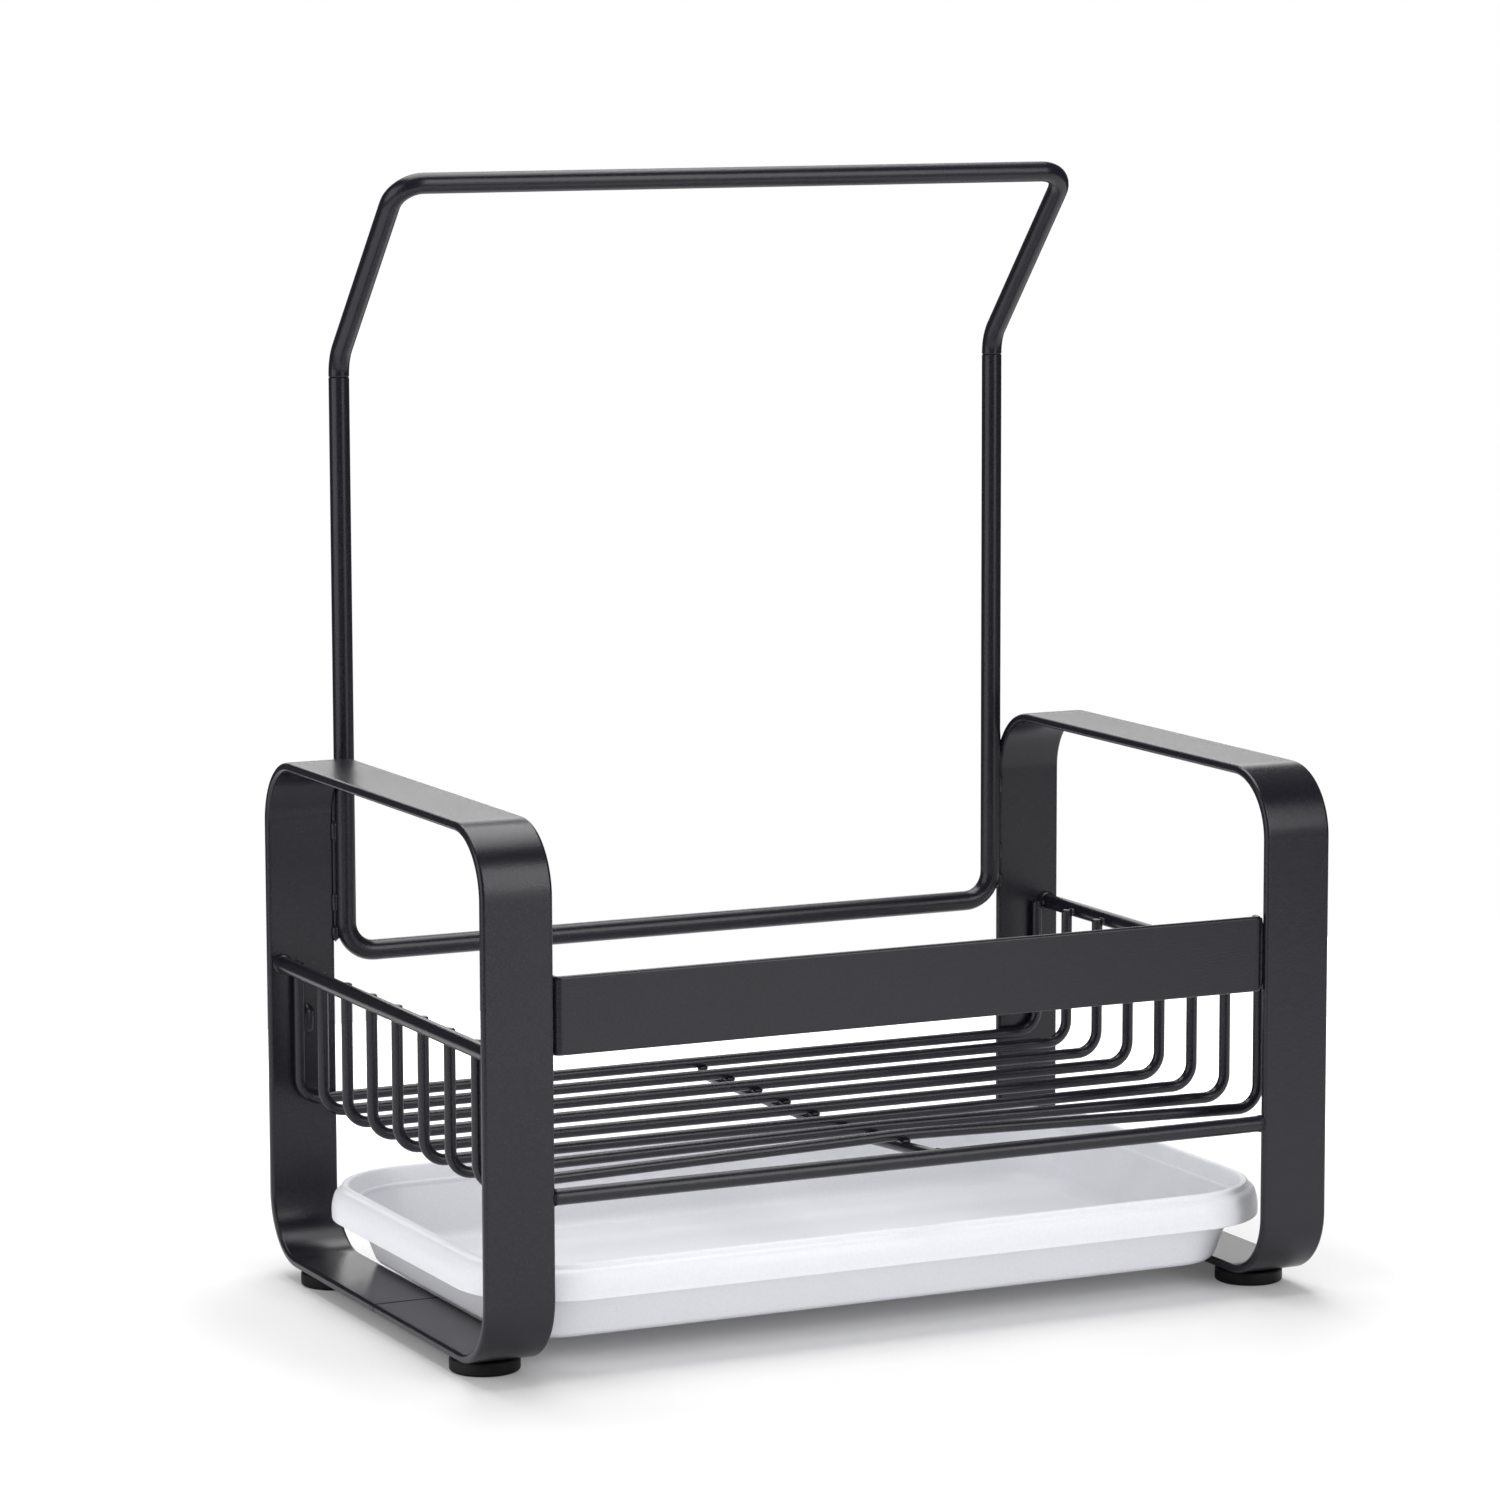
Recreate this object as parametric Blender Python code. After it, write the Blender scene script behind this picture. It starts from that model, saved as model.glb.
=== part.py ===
"""A sink caddy: two bent strip loops, a wire basket, a towel hanger and a drip tray.

All sizes are in metres. The origin lies on the surface that the feet stand on, below the
middle of the caddy. X runs along its length, Y towards the hanger at the back, and Z up.
"""

import math

import bmesh
import bpy
from mathutils import Matrix, Vector

# Driving sizes of the whole caddy
LENGTH = 0.240
DEPTH = 0.150
FRAME_HEIGHT = 0.136
BAR_HEIGHT = 0.2925

# Gaps between pieces that touch on the real object, and how far a cutter runs past its piece
SEAT_GAP = 0.0003
OVERRUN = 0.002
MERGE_DISTANCE = 0.000001

# Side frames: one flat strip each, bent into a loop and welded under the middle
STRIP_WIDTH = 0.019
STRIP_THICKNESS = 0.0024
FRAME_BEND_RADIUS = 0.018
STRIP_EDGE_RADIUS = 0.0004
SEAM_WIDTH = 0.0004
SEAM_DEPTH = 0.0002

# Rubber feet
FOOT_DIAMETER = 0.018
FOOT_HEIGHT = 0.0037
FOOT_EDGE_RADIUS = 0.0008
FOOT_INSET = 0.0235

# Front rail, a thinner strip with its ends turned rearwards
RAIL_HEIGHT = 0.0198
RAIL_THICKNESS = 0.0018
RAIL_LOWER_EDGE = 0.0825
RAIL_SETBACK = 0.0008
RAIL_BEND_RADIUS = 0.0022
RAIL_TAB_LENGTH = 0.0035
RAIL_EDGE_RADIUS = 0.0003

# Rods between the frames
ROD_DIAMETER = 0.0042
BASKET_ROD_HEIGHT = 0.0836

# Basket wires
WIRE_DIAMETER = 0.003
WIRE_COUNT = 8
FRONT_WIRE_GAP = 0.0204
WIRE_BEND_RADIUS = 0.006
WIRE_TOP_DROP = 0.0016
BASKET_END_INSET = 0.0077
BASKET_FLOOR_HEIGHT = 0.0465
WIRE_BOW_RADIUS = 0.2

# The cross wire below them, level at first and then climbing to the rod between the front legs
CROSS_WIRE_OFFSET = 0.007
CROSS_WIRE_OVERHANG = 0.0012
LEVEL_WIRES = 6
CROSS_WIRE_RISE = 0.0039
CROSS_WIRE_BEND_RADIUS = 0.05

# Towel hanger
HANGER_DIAMETER = 0.0055
LOWER_RAIL_HEIGHT = 0.0855
LOWER_BEND_RADIUS = 0.008
ARM_DROP = 0.0475
SEAM_DROP = 0.005
KINK_BEND_RADIUS = 0.011
BAR_BEND_RADIUS = 0.0075
LEAN_ANGLE = math.radians(42)
STUD_DIAMETER = 0.0024
STUD_HOLE_DIAMETER = 0.003
STUD_REACH = 0.005

# Drip tray
TRAY_END_INSET = 0.0055
TRAY_SIDE_INSET = 0.008
TRAY_HEIGHT = 0.0213
TRAY_FORWARD = 0.002
TRAY_CORNER_RADIUS = 0.027
TRAY_FLOOR_THICKNESS = 0.002
SKIRT_HEIGHT = 0.009
SKIRT_BULGE = 0.0027
SKIRT_THICKNESS = 0.0017
LIP_WIDTH = 0.002
LIP_RISE = 0.0014
LIP_ROUND = 0.0004
RIM_THICKNESS = 0.0024
TRAY_WALL_INSET = 0.0073
TRAY_WALL_THICKNESS = 0.002
TRAY_DRAFT = 0.0045
TRAY_BASE_ROUND = 0.0018

# How finely round shapes are cut
FRAME_BEND_STEPS = 12
WIRE_BEND_STEPS = 6
RAIL_BEND_STEPS = 6
TUBE_BEVEL_RESOLUTION = 4
TURNED_STEPS = 24
FOOT_STEPS = 32
TRAY_CORNER_STEPS = 10
EDGE_STEPS = 2
SMOOTH_ANGLE = math.radians(35)
EDGE_ANGLE = math.radians(60)

# Places that follow from the sizes above
FRAME_BOTTOM = FOOT_HEIGHT + SEAT_GAP
LEG_INNER_Y = DEPTH / 2 - STRIP_THICKNESS
FRAME_INNER_X = LENGTH / 2 - STRIP_WIDTH
FRAME_MIDDLE_X = LENGTH / 2 - STRIP_WIDTH / 2
BASKET_X = LENGTH / 2 - BASKET_END_INSET
BASKET_ROD_X = BASKET_X + WIRE_DIAMETER / 2 + SEAT_GAP + ROD_DIAMETER / 2
BASKET_TOP = BASKET_ROD_HEIGHT + ROD_DIAMETER / 2 - WIRE_TOP_DROP
FIRST_WIRE_Y = LEG_INNER_Y - SEAT_GAP - WIRE_DIAMETER / 2
CROSS_WIRE_HEIGHT = BASKET_FLOOR_HEIGHT - WIRE_DIAMETER - SEAT_GAP
FRONT_ROD_HEIGHT = CROSS_WIRE_HEIGHT + CROSS_WIRE_RISE
FRONT_ROD_Y = -DEPTH / 2 + ROD_DIAMETER / 2
WIRE_PITCH = (FIRST_WIRE_Y - FRONT_ROD_Y - FRONT_WIRE_GAP) / (WIRE_COUNT - 1)
CROSS_WIRE_END_Y = FRONT_ROD_Y + ROD_DIAMETER / 2 + SEAT_GAP
CLIMB_START_Y = FIRST_WIRE_Y - (LEVEL_WIRES - 1) * WIRE_PITCH
POST_X = FRAME_INNER_X - SEAT_GAP - HANGER_DIAMETER / 2
POST_Y = DEPTH / 2 - HANGER_DIAMETER / 2
KINK_HEIGHT = BAR_HEIGHT - ARM_DROP
POST_TOP = KINK_HEIGHT - SEAM_DROP
BAR_Y = POST_Y - ARM_DROP * math.tan(LEAN_ANGLE)
TRAY_LENGTH = LENGTH - 2 * TRAY_END_INSET
TRAY_DEPTH = DEPTH - 2 * TRAY_SIDE_INSET
TRAY_BOTTOM = FRAME_BOTTOM + STRIP_THICKNESS + SEAT_GAP

SIDES = (("left", -1), ("right", 1))
ENDS = (("front", -1), ("rear", 1))


def clear_scene():
    """Starts from an empty scene."""
    for old in list(bpy.data.objects):
        bpy.data.objects.remove(old, do_unlink=True)


def make_material(name, colour, roughness, metallic=0.0):
    material = bpy.data.materials.new(name)
    material.use_nodes = True
    shader = material.node_tree.nodes["Principled BSDF"]
    shader.inputs["Base Color"].default_value = (*colour, 1.0)
    shader.inputs["Roughness"].default_value = roughness
    shader.inputs["Metallic"].default_value = metallic
    material.diffuse_color = (*colour, 1.0)
    return material


def add_object(name, data, material, location=(0, 0, 0)):
    piece = bpy.data.objects.new(name, data)
    piece.location = location
    if material and not data.materials:
        data.materials.append(material)
    bpy.context.scene.collection.objects.link(piece)
    return piece


def mesh_from(bm, name):
    """The finished mesh of a bmesh, with its faces pointing out and its round sides smooth."""
    bmesh.ops.recalc_face_normals(bm, faces=bm.faces)
    mesh = bpy.data.meshes.new(name)
    bm.to_mesh(mesh)
    bm.free()
    mesh.shade_smooth()
    mesh.set_sharp_from_angle(angle=SMOOTH_ANGLE)
    return mesh


def make_cutter(name, bm, location=(0, 0, 0)):
    cutter = add_object(name, mesh_from(bm, name), None, location)
    cutter.hide_render = True
    cutter.display_type = "WIRE"
    return cutter


def cut(piece, cutter):
    modifier = piece.modifiers.new("Cut by " + cutter.name, "BOOLEAN")
    modifier.operation = "DIFFERENCE"
    modifier.solver = "EXACT"
    modifier.object = cutter


def round_edges(piece, width):
    modifier = piece.modifiers.new("Rounded edges", "BEVEL")
    modifier.width = width
    modifier.segments = EDGE_STEPS
    modifier.limit_method = "ANGLE"
    modifier.angle_limit = EDGE_ANGLE


def corner_arc(before, corner, after, radius, steps):
    """Points of the arc that rounds one corner of a bent path."""
    towards_before = (before - corner).normalized()
    towards_after = (after - corner).normalized()
    half_angle = towards_before.angle(towards_after) / 2
    start = corner + towards_before * (radius / math.tan(half_angle))
    middle = (towards_before + towards_after).normalized()
    centre = corner + middle * (radius / math.sin(half_angle))
    arm = start - centre
    turn_axis = towards_after.cross(towards_before)
    turned = math.pi - 2 * half_angle
    return [
        centre + Matrix.Rotation(turned * step / steps, 3, turn_axis) @ arm
        for step in range(steps + 1)
    ]


def bent_path(corners, radii, steps):
    """A path through the corners, each inner one rounded with its own radius."""
    corners = [Vector(corner) for corner in corners]
    path = [corners[0]]
    for index, radius in enumerate(radii, start=1):
        before, corner, after = corners[index - 1 : index + 2]
        path += corner_arc(before, corner, after, radius, steps)
    return path + [corners[-1]]


def tube_curve(name, path, diameter):
    """A round rod along a path, as a curve with a bevel and closed ends."""
    curve = bpy.data.curves.new(name, "CURVE")
    curve.dimensions = "3D"
    curve.bevel_depth = diameter / 2
    curve.bevel_resolution = TUBE_BEVEL_RESOLUTION
    curve.use_fill_caps = True
    spline = curve.splines.new("POLY")
    spline.points.add(len(path) - 1)
    for point, place in zip(spline.points, path):
        point.co = (*place, 1.0)
    spline.use_smooth = True
    return curve


def tube_mesh(name, path, diameter):
    """The same rod as one closed mesh, for a rod that a hole is cut into."""
    guide = bpy.data.objects.new(name + "_guide", tube_curve(name, path, diameter))
    bm = bmesh.new()
    made = bpy.data.meshes.new_from_object(guide)
    bm.from_mesh(made)
    bmesh.ops.remove_doubles(bm, verts=bm.verts, dist=MERGE_DISTANCE)
    bpy.data.objects.remove(guide, do_unlink=True)
    return mesh_from(bm, name)


def rounded_outline(half_width, half_height, radius, steps):
    """A rectangle with round corners, as flat points that run counterclockwise."""
    points = []
    for quarter, (x_sign, y_sign) in enumerate(((1, 1), (-1, 1), (-1, -1), (1, -1))):
        centre = Vector((x_sign * (half_width - radius), y_sign * (half_height - radius)))
        for step in range(steps + 1):
            angle = (quarter + step / steps) * math.pi / 2
            points.append(centre + radius * Vector((math.cos(angle), math.sin(angle))))
    return points


def add_box(bm, size, centre):
    place = Matrix.Translation(centre) @ Matrix.Diagonal((*size, 1))
    bmesh.ops.create_cube(bm, size=1, matrix=place)


def cylinder_bmesh(diameter, length, steps):
    """An upright cylinder about the origin."""
    bm = bmesh.new()
    bmesh.ops.create_cone(
        bm,
        cap_ends=True,
        segments=steps,
        radius1=diameter / 2,
        radius2=diameter / 2,
        depth=length,
    )
    return bm


def extruded_sheet(points, width_vector, closed):
    """A thin sheet made by drawing an outline sideways, before it gets its thickness."""
    bm = bmesh.new()
    row = [bm.verts.new(point) for point in points]
    pairs = list(zip(row, row[1:])) + ([(row[-1], row[0])] if closed else [])
    edges = [bm.edges.new(pair) for pair in pairs]
    drawn = bmesh.ops.extrude_edge_only(bm, edges=edges)["geom"]
    moved = [item for item in drawn if isinstance(item, bmesh.types.BMVert)]
    bmesh.ops.translate(bm, verts=moved, vec=width_vector)
    return bm


def thicken(piece, thickness):
    """Gives a sheet its thickness on the side that its faces look away from."""
    modifier = piece.modifiers.new("Thickness", "SOLIDIFY")
    modifier.thickness = thickness
    modifier.offset = -1
    modifier.use_even_offset = True


def frame_outline():
    """The outer face of a side frame, as points in the plane of the loop."""
    half_height = FRAME_HEIGHT / 2
    return rounded_outline(DEPTH / 2, half_height, FRAME_BEND_RADIUS, FRAME_BEND_STEPS)


def seam_cutter(name, x):
    """Two shallow grooves, above and below the bottom strip, where its ends are welded."""
    bm = bmesh.new()
    length = STRIP_WIDTH + 2 * OVERRUN
    for face, direction in ((0, -1), (STRIP_THICKNESS, 1)):
        height = OVERRUN + SEAM_DEPTH
        middle = face - direction * SEAM_DEPTH + direction * height / 2
        add_box(bm, (length, SEAM_WIDTH, height), (0, 0, middle))
    return make_cutter(name, bm, (x, 0, FRAME_BOTTOM))


def make_side_frame(label, side, material):
    """A flat strip bent into an upright loop, whose ends meet under the middle."""
    outline = [Vector((-STRIP_WIDTH / 2, y, z)) for y, z in frame_outline()]
    bm = extruded_sheet(outline, (STRIP_WIDTH, 0, 0), closed=True)
    mesh = mesh_from(bm, label + "_side_frame")
    middle = (side * FRAME_MIDDLE_X, 0, FRAME_BOTTOM + FRAME_HEIGHT / 2)
    frame = add_object(label + "_side_frame", mesh, material, middle)
    thicken(frame, STRIP_THICKNESS)
    round_edges(frame, STRIP_EDGE_RADIUS)
    cut(frame, seam_cutter(label + "_seam_cutter", side * FRAME_MIDDLE_X))


def make_front_rail(material):
    """A strip between the front legs, whose ends turn back along the legs' inner edges."""
    end_x = FRAME_INNER_X - SEAT_GAP
    front_y = -DEPTH / 2 + RAIL_SETBACK
    tab_y = front_y + RAIL_TAB_LENGTH
    corners = ((-end_x, tab_y, 0), (-end_x, front_y, 0), (end_x, front_y, 0), (end_x, tab_y, 0))
    path = bent_path(corners, (RAIL_BEND_RADIUS, RAIL_BEND_RADIUS), RAIL_BEND_STEPS)
    bm = extruded_sheet(path, (0, 0, RAIL_HEIGHT), closed=False)
    mesh = mesh_from(bm, "front_rail")
    face_forwards(mesh, front_y)
    rail = add_object("front_rail", mesh, material, (0, 0, RAIL_LOWER_EDGE))
    thicken(rail, RAIL_THICKNESS)
    round_edges(rail, RAIL_EDGE_RADIUS)


def face_forwards(mesh, front_y):
    """Turns an open sheet so that the face along its front looks forwards."""
    front = min(mesh.polygons, key=lambda face: abs(face.center.y - front_y))
    if front.normal.y > 0:
        mesh.flip_normals()


def make_front_rod(material):
    """The straight rod between the front legs that keeps things on the basket's floor."""
    end_x = FRAME_INNER_X - SEAT_GAP
    path = [Vector((-end_x, 0, 0)), Vector((end_x, 0, 0))]
    curve = tube_curve("front_lower_rod", path, ROD_DIAMETER)
    add_object("front_lower_rod", curve, material, (0, FRONT_ROD_Y, FRONT_ROD_HEIGHT))


def make_basket_rods(material):
    """One rod at each end of the basket, between the legs and outside the wires."""
    end_y = LEG_INNER_Y - SEAT_GAP
    path = [Vector((0, -end_y, 0)), Vector((0, end_y, 0))]
    curve = tube_curve("basket_rod", path, ROD_DIAMETER)
    for label, side in SIDES:
        place = (side * BASKET_ROD_X, 0, BASKET_ROD_HEIGHT)
        add_object("basket_rod_" + label, curve, material, place)


def climb(y):
    """How far the cross wire has climbed at a place along the caddy's depth."""
    share = (CLIMB_START_Y - y) / (CLIMB_START_Y - CROSS_WIRE_END_Y)
    return CROSS_WIRE_RISE * max(0, share)


def basket_wire_path(lift):
    """A wide U, whose floor is bowed upwards where the cross wire lifts it."""
    corners = [(-BASKET_X, 0, BASKET_TOP), (-BASKET_X, 0, BASKET_FLOOR_HEIGHT)]
    radii = [WIRE_BEND_RADIUS]
    if lift > MERGE_DISTANCE:
        corners.append((CROSS_WIRE_OFFSET, 0, BASKET_FLOOR_HEIGHT + lift))
        radii.append(WIRE_BOW_RADIUS)
    corners += [(BASKET_X, 0, BASKET_FLOOR_HEIGHT), (BASKET_X, 0, BASKET_TOP)]
    radii.append(WIRE_BEND_RADIUS)
    return bent_path(corners, radii, WIRE_BEND_STEPS)


def make_basket_wires(material):
    """The basket: bent wires in a row from back to front, the first one on the rear legs."""
    for index in range(WIRE_COUNT):
        name = f"basket_wire_{index + 1}"
        y = FIRST_WIRE_Y - index * WIRE_PITCH
        curve = tube_curve(name, basket_wire_path(climb(y)), WIRE_DIAMETER)
        add_object(name, curve, material, (0, y, 0))


def make_cross_wire(material):
    """A wire under the basket's floor that ties the others to the front rod."""
    corners = (
        (0, FIRST_WIRE_Y + CROSS_WIRE_OVERHANG, 0),
        (0, CLIMB_START_Y, 0),
        (0, CROSS_WIRE_END_Y, CROSS_WIRE_RISE),
    )
    path = bent_path(corners, (CROSS_WIRE_BEND_RADIUS,), WIRE_BEND_STEPS)
    curve = tube_curve("basket_cross_wire", path, WIRE_DIAMETER)
    place = (CROSS_WIRE_OFFSET, 0, CROSS_WIRE_HEIGHT)
    add_object("basket_cross_wire", curve, material, place)


def stud_hole_cutter(name, side):
    """A cutter for the holes on both sides of one seam between a post and the bar."""
    length = 2 * (STUD_REACH + SEAT_GAP)
    bm = cylinder_bmesh(STUD_HOLE_DIAMETER, length, TURNED_STEPS)
    return make_cutter(name, bm, (side * POST_X, POST_Y, POST_TOP + SEAT_GAP / 2))


def make_hanger(material):
    """Two bent rods on top of each other, joined by a stud in each post."""
    lower = (
        (-POST_X, POST_Y, POST_TOP),
        (-POST_X, POST_Y, LOWER_RAIL_HEIGHT),
        (POST_X, POST_Y, LOWER_RAIL_HEIGHT),
        (POST_X, POST_Y, POST_TOP),
    )
    upper = (
        (-POST_X, POST_Y, POST_TOP + SEAT_GAP),
        (-POST_X, POST_Y, KINK_HEIGHT),
        (-POST_X, BAR_Y, BAR_HEIGHT),
        (POST_X, BAR_Y, BAR_HEIGHT),
        (POST_X, POST_Y, KINK_HEIGHT),
        (POST_X, POST_Y, POST_TOP + SEAT_GAP),
    )
    upper_radii = (KINK_BEND_RADIUS, BAR_BEND_RADIUS, BAR_BEND_RADIUS, KINK_BEND_RADIUS)
    cutters = [stud_hole_cutter(label + "_stud_hole_cutter", side) for label, side in SIDES]
    for name, corners, radii in (
        ("hanger_frame", lower, (LOWER_BEND_RADIUS, LOWER_BEND_RADIUS)),
        ("towel_bar", upper, upper_radii),
    ):
        path = bent_path(corners, radii, WIRE_BEND_STEPS)
        rod = add_object(name, tube_mesh(name, path, HANGER_DIAMETER), material)
        for cutter in cutters:
            cut(rod, cutter)


def make_studs(material):
    """The hidden studs that join the hanger's two rods in the seams between them."""
    bm = cylinder_bmesh(STUD_DIAMETER, 2 * STUD_REACH, TURNED_STEPS)
    mesh = mesh_from(bm, "hanger_stud")
    for label, side in SIDES:
        place = (side * POST_X, POST_Y, POST_TOP + SEAT_GAP / 2)
        add_object("hanger_stud_" + label, mesh, material, place)


def make_feet(material):
    """A round rubber pad under each end of the two bottom strips."""
    bm = cylinder_bmesh(FOOT_DIAMETER, FOOT_HEIGHT, FOOT_STEPS)
    mesh = mesh_from(bm, "foot")
    for end, end_sign in ENDS:
        for label, side in SIDES:
            place = (side * FRAME_MIDDLE_X, end_sign * (DEPTH / 2 - FOOT_INSET), FOOT_HEIGHT / 2)
            foot = add_object(f"foot_{end}_{label}", mesh, material, place)
            round_edges(foot, FOOT_EDGE_RADIUS)


def tray_profile():
    """The tray's wall, as insets from its outer outline and heights above its base.

    It starts at the edge of the base, climbs the outside, goes round the hollow rim and
    comes down the inside to the floor.
    """
    rim_under = TRAY_HEIGHT - LIP_RISE - RIM_THICKNESS
    skirt_low = TRAY_HEIGHT - SKIRT_HEIGHT
    shoulder = TRAY_HEIGHT - LIP_RISE
    wall_low = TRAY_WALL_INSET + TRAY_DRAFT
    inner_top = SKIRT_BULGE + LIP_WIDTH
    inner_low = wall_low + TRAY_WALL_THICKNESS
    return (
        (wall_low + TRAY_BASE_ROUND, 0),
        (wall_low + TRAY_BASE_ROUND / 3, TRAY_BASE_ROUND / 3),
        (wall_low, TRAY_BASE_ROUND),
        (TRAY_WALL_INSET, skirt_low),
        (TRAY_WALL_INSET, rim_under),
        (SKIRT_THICKNESS + SKIRT_BULGE / 3, rim_under),
        (SKIRT_THICKNESS, skirt_low),
        (LIP_ROUND / 2, skirt_low),
        (0, skirt_low + LIP_ROUND),
        (0, skirt_low + SKIRT_HEIGHT / 3),
        (SKIRT_BULGE / 5, shoulder - SKIRT_HEIGHT / 5),
        (SKIRT_BULGE / 2, shoulder - LIP_ROUND),
        (SKIRT_BULGE, shoulder),
        (SKIRT_BULGE, TRAY_HEIGHT - LIP_ROUND),
        (SKIRT_BULGE + LIP_ROUND, TRAY_HEIGHT),
        (inner_top - LIP_ROUND, TRAY_HEIGHT),
        (inner_top, TRAY_HEIGHT - LIP_ROUND),
        (TRAY_WALL_INSET + TRAY_WALL_THICKNESS, skirt_low),
        (inner_low, TRAY_FLOOR_THICKNESS + TRAY_BASE_ROUND),
        (inner_low + TRAY_BASE_ROUND, TRAY_FLOOR_THICKNESS),
    )


def make_tray(material):
    """A shallow plastic tray with a rolled rim, which lies on the two bottom strips."""
    bm = bmesh.new()
    loops = []
    for inset, height in tray_profile():
        outline = rounded_outline(
            TRAY_LENGTH / 2 - inset,
            TRAY_DEPTH / 2 - inset,
            TRAY_CORNER_RADIUS - inset,
            TRAY_CORNER_STEPS,
        )
        loops.append([bm.verts.new((x, y, height)) for x, y in outline])
    for low, high in zip(loops, loops[1:]):
        for index in range(len(low)):
            following = (index + 1) % len(low)
            bm.faces.new((low[index], low[following], high[following], high[index]))
    bm.faces.new(reversed(loops[0]))
    bm.faces.new(loops[-1])
    mesh = mesh_from(bm, "drip_tray")
    travel = bpy.data.objects.new("drip_tray_travel", None)
    travel.location = (0, -TRAY_FORWARD, TRAY_BOTTOM)
    bpy.context.scene.collection.objects.link(travel)
    tray = add_object("drip_tray", mesh, material)
    tray.parent = travel


def main():
    clear_scene()
    coat = make_material("black powder coat", (0.048, 0.047, 0.054), 0.42)
    steel = make_material("blackened steel", (0.03, 0.03, 0.032), 0.35, 0.6)
    rubber = make_material("black rubber", (0.012, 0.012, 0.013), 0.75)
    plastic = make_material("white plastic", (0.82, 0.83, 0.88), 0.38)
    for label, side in SIDES:
        make_side_frame(label, side, coat)
    make_front_rail(coat)
    make_front_rod(coat)
    make_basket_rods(coat)
    make_basket_wires(coat)
    make_cross_wire(coat)
    make_hanger(coat)
    make_studs(steel)
    make_feet(rubber)
    make_tray(plastic)


main()
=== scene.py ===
# %% [markdown]
# # Dressing a sink caddy
#
# This script takes the plain solids of a sink caddy and gives them their looks. The caddy
# is two upright loops of bent strip, a basket of bent wires between them, a rail across the
# front, a tall hanger at the back and a white drip tray that slides out below.
#
# All sizes are in metres. X runs along the caddy, Y towards its back and Z up, and the
# origin lies on the worktop below its middle. Each new piece takes its place from the solid
# that it stands for, so it can't drift away from it.

import math

import bpy
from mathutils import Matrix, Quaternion, Vector


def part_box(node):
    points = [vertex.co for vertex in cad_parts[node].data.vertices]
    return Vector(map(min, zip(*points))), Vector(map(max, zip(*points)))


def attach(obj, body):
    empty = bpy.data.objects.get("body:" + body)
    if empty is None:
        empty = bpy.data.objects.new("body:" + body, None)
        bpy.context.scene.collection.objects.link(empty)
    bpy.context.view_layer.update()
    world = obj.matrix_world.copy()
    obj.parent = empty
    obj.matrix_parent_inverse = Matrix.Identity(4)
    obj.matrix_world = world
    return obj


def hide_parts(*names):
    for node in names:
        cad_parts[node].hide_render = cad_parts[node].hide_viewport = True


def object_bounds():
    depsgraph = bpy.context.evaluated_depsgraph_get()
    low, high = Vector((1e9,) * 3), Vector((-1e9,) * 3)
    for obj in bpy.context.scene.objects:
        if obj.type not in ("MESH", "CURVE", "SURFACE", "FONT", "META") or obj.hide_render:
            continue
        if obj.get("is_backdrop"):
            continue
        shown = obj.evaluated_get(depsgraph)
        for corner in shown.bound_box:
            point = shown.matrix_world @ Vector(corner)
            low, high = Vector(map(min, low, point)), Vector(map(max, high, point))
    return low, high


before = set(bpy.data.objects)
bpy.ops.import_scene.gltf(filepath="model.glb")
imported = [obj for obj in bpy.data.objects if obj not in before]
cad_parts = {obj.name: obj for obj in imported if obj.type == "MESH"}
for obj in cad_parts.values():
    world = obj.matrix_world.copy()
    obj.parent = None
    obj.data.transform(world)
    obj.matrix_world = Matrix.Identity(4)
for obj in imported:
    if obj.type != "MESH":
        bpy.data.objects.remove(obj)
solid_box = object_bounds()

# %% [markdown]
# ## Camera
#
# The view decides which details matter, so the camera comes first. It stands to the left of
# the caddy, a little above it, and looks along the fitted line of sight. A long lens keeps
# the two loops nearly the same size, as in a product picture.

# %% Place the camera
CAMERA_PLACE = Vector((-0.63138, -1.29832, 0.34215))
CAMERA_TARGET = Vector((-0.01194, 0.0, 0.14385))
CAMERA_ROLL = math.radians(-0.172)
CAMERA_LENS = 132.77

bpy.ops.object.select_all(action="DESELECT")
bpy.ops.object.camera_add(location=CAMERA_PLACE)
camera = bpy.context.object
camera.name = "portrait_camera"
camera.data.lens = CAMERA_LENS
camera.rotation_mode = "QUATERNION"
line_of_sight = (CAMERA_TARGET - CAMERA_PLACE).to_track_quat("-Z", "Y")
camera.rotation_quaternion = line_of_sight @ Quaternion((0, 0, 1), CAMERA_ROLL)
bpy.context.scene.camera = camera
print("camera distance:", round((CAMERA_TARGET - CAMERA_PLACE).length, 3))

# %% [markdown]
# ## Small helpers for modelling
#
# Blender's operators act on whatever is selected, so each step starts by selecting one
# piece and nothing else. Modifiers are applied at once, which leaves plain meshes.

# %% Select, edit and apply
SMOOTH_ANGLE = math.radians(40)
MERGE_DISTANCE = 0.000001


def only(piece):
    """Selects one piece and nothing else."""
    bpy.ops.object.select_all(action="DESELECT")
    piece.select_set(True)
    bpy.context.view_layer.objects.active = piece


def edit(piece):
    """Opens a piece in edit mode."""
    only(piece)
    bpy.ops.object.mode_set(mode="EDIT")
    bpy.ops.mesh.select_mode(type="VERT")


def edit_all(piece):
    """Opens a piece in edit mode with everything selected."""
    edit(piece)
    bpy.ops.mesh.select_all(action="SELECT")


def leave_edit():
    """Goes back to object mode."""
    bpy.ops.object.mode_set(mode="OBJECT")


def pick(piece, wanted):
    """Opens a piece in edit mode with only the vertices selected that a test names."""
    mesh = piece.data
    mesh.polygons.foreach_set("select", [False] * len(mesh.polygons))
    mesh.edges.foreach_set("select", [False] * len(mesh.edges))
    for vertex in mesh.vertices:
        vertex.select = bool(wanted(vertex.co))
    edit(piece)


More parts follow.
